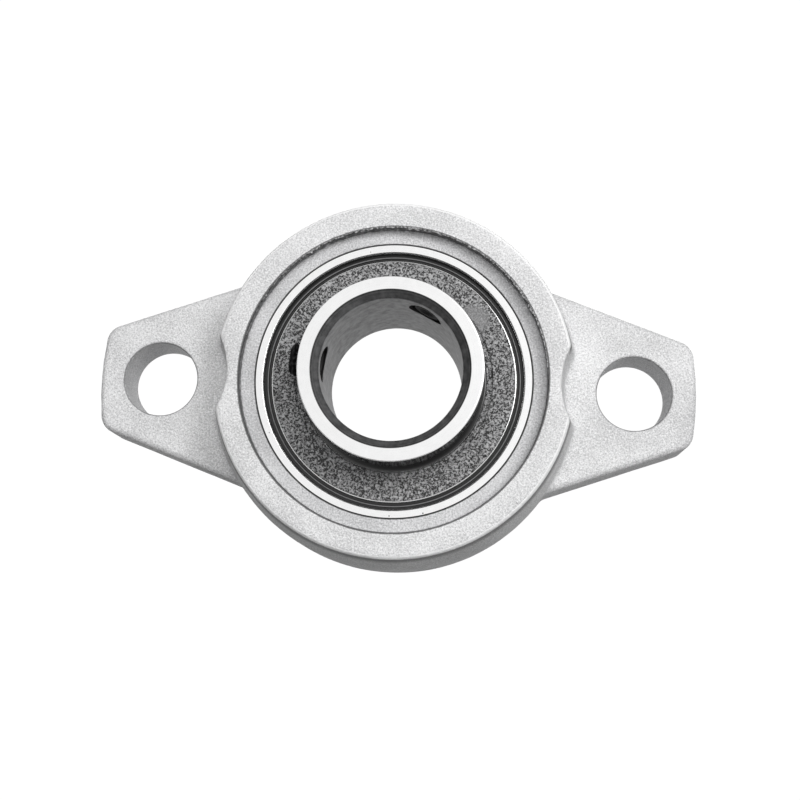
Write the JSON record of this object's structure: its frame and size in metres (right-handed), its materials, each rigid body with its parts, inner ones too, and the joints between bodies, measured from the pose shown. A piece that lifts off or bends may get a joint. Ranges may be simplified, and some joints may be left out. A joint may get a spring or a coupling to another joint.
{
  "type": "flange bearing unit",
  "caption": "Two-bolt oval flange housing with a self-aligning insert ball bearing, sealed on both sides and clamped to its shaft by set screws.",
  "frame": {"origin": "centre of the mounting face, on the shaft's axis", "axes": "+Z along the shaft, away from the mounting face; +X through the two bolt holes; +Y across the flange"},
  "size_m": [0.09, 0.055, 0.023],
  "materials": {
    "zinc_casting": "matte",
    "bearing_steel": "satin",
    "cage_sheet": "satin",
    "seal_rubber": "matte",
    "screw_black": "satin"
  },
  "bodies": {
    "housing": {"housing": "zinc_casting"},
    "outer_race": {"outer_ring": "bearing_steel", "seal_front": "seal_rubber", "seal_back": "seal_rubber"},
    "inner_race": {"inner_ring": "bearing_steel"},
    "cage": {"cage_front": "cage_sheet", "cage_back": "cage_sheet", "cage_rivets": "cage_sheet"},
    "ball_1": {"ball_1": "bearing_steel"},
    "ball_2": {"ball_2": "bearing_steel"},
    "ball_3": {"ball_3": "bearing_steel"},
    "ball_4": {"ball_4": "bearing_steel"},
    "ball_5": {"ball_5": "bearing_steel"},
    "ball_6": {"ball_6": "bearing_steel"},
    "ball_7": {"ball_7": "bearing_steel"},
    "ball_8": {"ball_8": "bearing_steel"},
    "ball_9": {"ball_9": "bearing_steel"},
    "set_screw_1": {"set_screw_1": "screw_black"},
    "set_screw_2": {"set_screw_2": "screw_black"}
  },
  "joints": [
    {"name": "self_align", "type": "hinge", "parent": "housing", "child": "outer_race", "pos_m": [0, 0, 0.008], "axis": [1, 0, 0], "range_deg": [-2, 2]},
    {"name": "shaft_spin", "type": "hinge", "parent": "outer_race", "child": "inner_race", "pos_m": [0, 0, 0.008], "axis": [0, 0, 1], "continuous": true},
    {"name": "cage_spin", "type": "hinge", "parent": "outer_race", "child": "cage", "pos_m": [0, 0, 0.008], "axis": [0, 0, 1], "continuous": true},
    {"name": "ball_1_roll", "type": "hinge", "parent": "cage", "child": "ball_1", "pos_m": [0.0155, 0, 0.008], "axis": [0, 0, 1], "continuous": true},
    {"name": "ball_2_roll", "type": "hinge", "parent": "cage", "child": "ball_2", "pos_m": [0.01187, 0.00996, 0.008], "axis": [0, 0, 1], "continuous": true},
    {"name": "ball_3_roll", "type": "hinge", "parent": "cage", "child": "ball_3", "pos_m": [0.00269, 0.01526, 0.008], "axis": [0, 0, 1], "continuous": true},
    {"name": "ball_4_roll", "type": "hinge", "parent": "cage", "child": "ball_4", "pos_m": [-0.00775, 0.01342, 0.008], "axis": [0, 0, 1], "continuous": true},
    {"name": "ball_5_roll", "type": "hinge", "parent": "cage", "child": "ball_5", "pos_m": [-0.01457, 0.0053, 0.008], "axis": [0, 0, 1], "continuous": true},
    {"name": "ball_6_roll", "type": "hinge", "parent": "cage", "child": "ball_6", "pos_m": [-0.01457, -0.0053, 0.008], "axis": [0, 0, 1], "continuous": true},
    {"name": "ball_7_roll", "type": "hinge", "parent": "cage", "child": "ball_7", "pos_m": [-0.00775, -0.01342, 0.008], "axis": [0, 0, 1], "continuous": true},
    {"name": "ball_8_roll", "type": "hinge", "parent": "cage", "child": "ball_8", "pos_m": [0.00269, -0.01526, 0.008], "axis": [0, 0, 1], "continuous": true},
    {"name": "ball_9_roll", "type": "hinge", "parent": "cage", "child": "ball_9", "pos_m": [0.01187, -0.00996, 0.008], "axis": [0, 0, 1], "continuous": true},
    {"name": "set_screw_1_travel", "type": "slide", "parent": "inner_race", "child": "set_screw_1", "axis": [-0.9925, 0.1219, 0], "range_m": [-0.0011, 0.001]},
    {"name": "set_screw_2_travel", "type": "slide", "parent": "inner_race", "child": "set_screw_2", "axis": [0.454, 0.891, 0], "range_m": [-0.0001, 0.001]}
  ],
  "couplings": [
    {"joint": "cage_spin", "follows": "shaft_spin", "ratio": 0.39758},
    {"joint": "ball_1_roll", "follows": "shaft_spin", "ratio": -2.3385},
    {"joint": "ball_2_roll", "follows": "shaft_spin", "ratio": -2.3385},
    {"joint": "ball_3_roll", "follows": "shaft_spin", "ratio": -2.3385},
    {"joint": "ball_4_roll", "follows": "shaft_spin", "ratio": -2.3385},
    {"joint": "ball_5_roll", "follows": "shaft_spin", "ratio": -2.3385},
    {"joint": "ball_6_roll", "follows": "shaft_spin", "ratio": -2.3385},
    {"joint": "ball_7_roll", "follows": "shaft_spin", "ratio": -2.3385},
    {"joint": "ball_8_roll", "follows": "shaft_spin", "ratio": -2.3385},
    {"joint": "ball_9_roll", "follows": "shaft_spin", "ratio": -2.3385}
  ]
}
